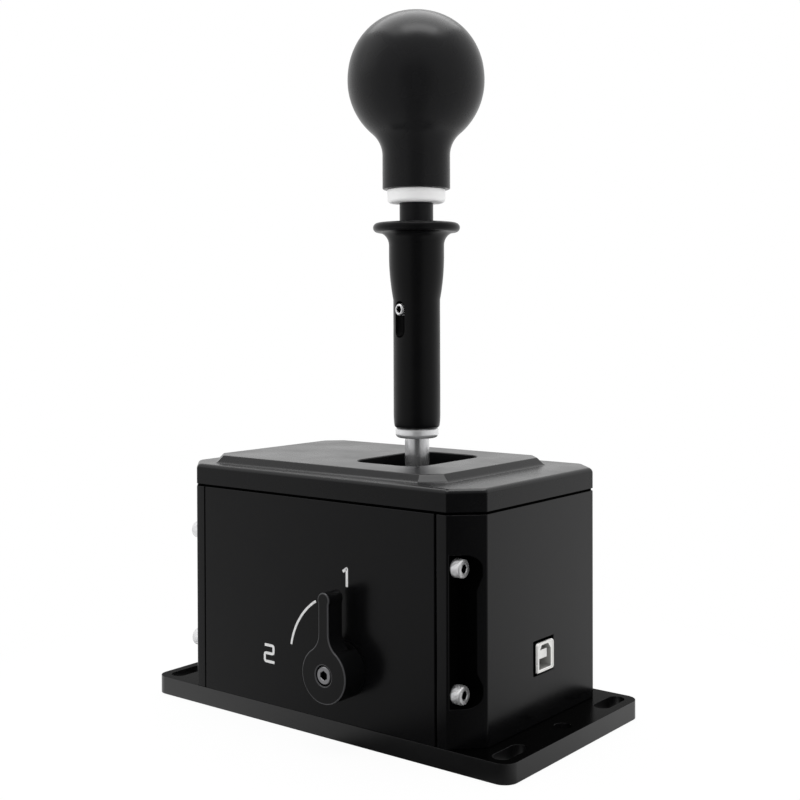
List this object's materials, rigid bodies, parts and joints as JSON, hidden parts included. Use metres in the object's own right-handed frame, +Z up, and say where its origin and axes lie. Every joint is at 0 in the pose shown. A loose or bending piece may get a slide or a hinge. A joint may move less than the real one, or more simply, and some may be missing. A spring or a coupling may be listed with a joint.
{
  "type": "sim racing gear shifter",
  "caption": "Plate-built gear shifter box with a ball-topped lever, reverse pull sleeve, mode selector and slotted base flanges.",
  "frame": {"origin": "middle of the underside of the base plate", "axes": "+X along the box towards the data socket, -Y towards the mode selector, +Z up along the lever"},
  "size_m": [0.1814, 0.109, 0.2867],
  "materials": {
    "black_anodised": "satin black anodised",
    "gate_steel": "blackened steel",
    "inner_steel": "machined",
    "bright_screws": "stainless",
    "rod_steel": "ground",
    "collar_chrome": "polished",
    "ring_bright": "turned and polished",
    "black_sleeve": "satin black anodised",
    "knob_black": "soft satin",
    "spring_steel": "drawn wire",
    "bronze": "sintered",
    "magnet_nickel": "nickel plated",
    "circuit_board": "solder mask",
    "chip_black": "moulded",
    "socket_nickel": "nickel plated",
    "socket_plastic": "moulded"
  },
  "bodies": {
    "housing": {"base_plate": "black_anodised", "end_plate_socket": "black_anodised", "end_plate_plain": "black_anodised", "side_panel_selector": "black_anodised", "side_panel_plain": "black_anodised", "lid": "black_anodised", "gate_plate": "gate_steel", "corner_screws": "bright_screws", "tie_bolts": "gate_steel", "panel_screws": "gate_steel", "block_screws": "gate_steel", "gate_screws": "gate_steel", "bearing_blocks": "inner_steel", "shift_bushes": "bronze", "selector_bush": "bronze", "detent_block": "inner_steel", "detent_plunger": "bright_screws", "main_board": "circuit_board", "board_chips": "chip_black", "board_standoffs": "inner_steel", "board_screws": "bright_screws", "pin_header": "chip_black", "socket_board": "circuit_board", "socket_standoffs": "inner_steel", "socket_shell": "socket_nickel", "socket_insert": "socket_plastic"},
    "cradle": {"yoke": "inner_steel", "shift_shafts": "rod_steel", "select_pin": "rod_steel", "centring_spring_selector": "spring_steel", "centring_spring_plain": "spring_steel", "detent_sector": "inner_steel"},
    "lever": {"lever_hub": "inner_steel", "select_bushes": "bronze", "lever_rod": "rod_steel", "stop_collar": "collar_chrome", "sleeve_spring": "spring_steel", "stem_tube": "black_sleeve", "guide_screw": "bright_screws", "knob_ring": "ring_bright", "knob": "knob_black", "tilt_magnet": "magnet_nickel"},
    "pull_ring": {"pull_sleeve": "black_sleeve"},
    "selector": {"selector_lever": "black_anodised", "selector_screw": "bright_screws", "selector_shaft": "rod_steel", "selector_cam": "inner_steel"},
    "plunger": {"lock_plunger": "rod_steel", "plunger_spring": "spring_steel"}
  },
  "joints": [
    {"name": "shift", "type": "hinge", "parent": "housing", "child": "cradle", "pos_m": [0.0146, 0, 0.035], "axis": [0, 1, 0], "range_deg": [-7.5, 7.5]},
    {"name": "select", "type": "hinge", "parent": "cradle", "child": "lever", "pos_m": [0.0146, 0, 0.035], "axis": [1, 0, 0], "range_deg": [-11.2, 11.2], "stiffness_Nm_per_rad": 4, "deforming": ["centring_spring_selector", "centring_spring_plain"]},
    {"name": "pull", "type": "slide", "parent": "lever", "child": "pull_ring", "axis": [0, 0, 1], "range_m": [0, 0.006], "stiffness_N_per_m": 400, "springref_m": -0.004, "deforming": ["sleeve_spring"]},
    {"name": "mode", "type": "hinge", "parent": "housing", "child": "selector", "pos_m": [0.0164, -0.0485, 0.0283], "axis": [0, -1, 0], "range_deg": [0, 90]},
    {"name": "lock", "type": "slide", "parent": "housing", "child": "plunger", "axis": [0, 1, 0], "range_m": [0, 0.004], "deforming": ["plunger_spring"]}
  ],
  "couplings": [
    {"joint": "lock", "follows": "mode", "m_per_rad": 0.0025465}
  ]
}
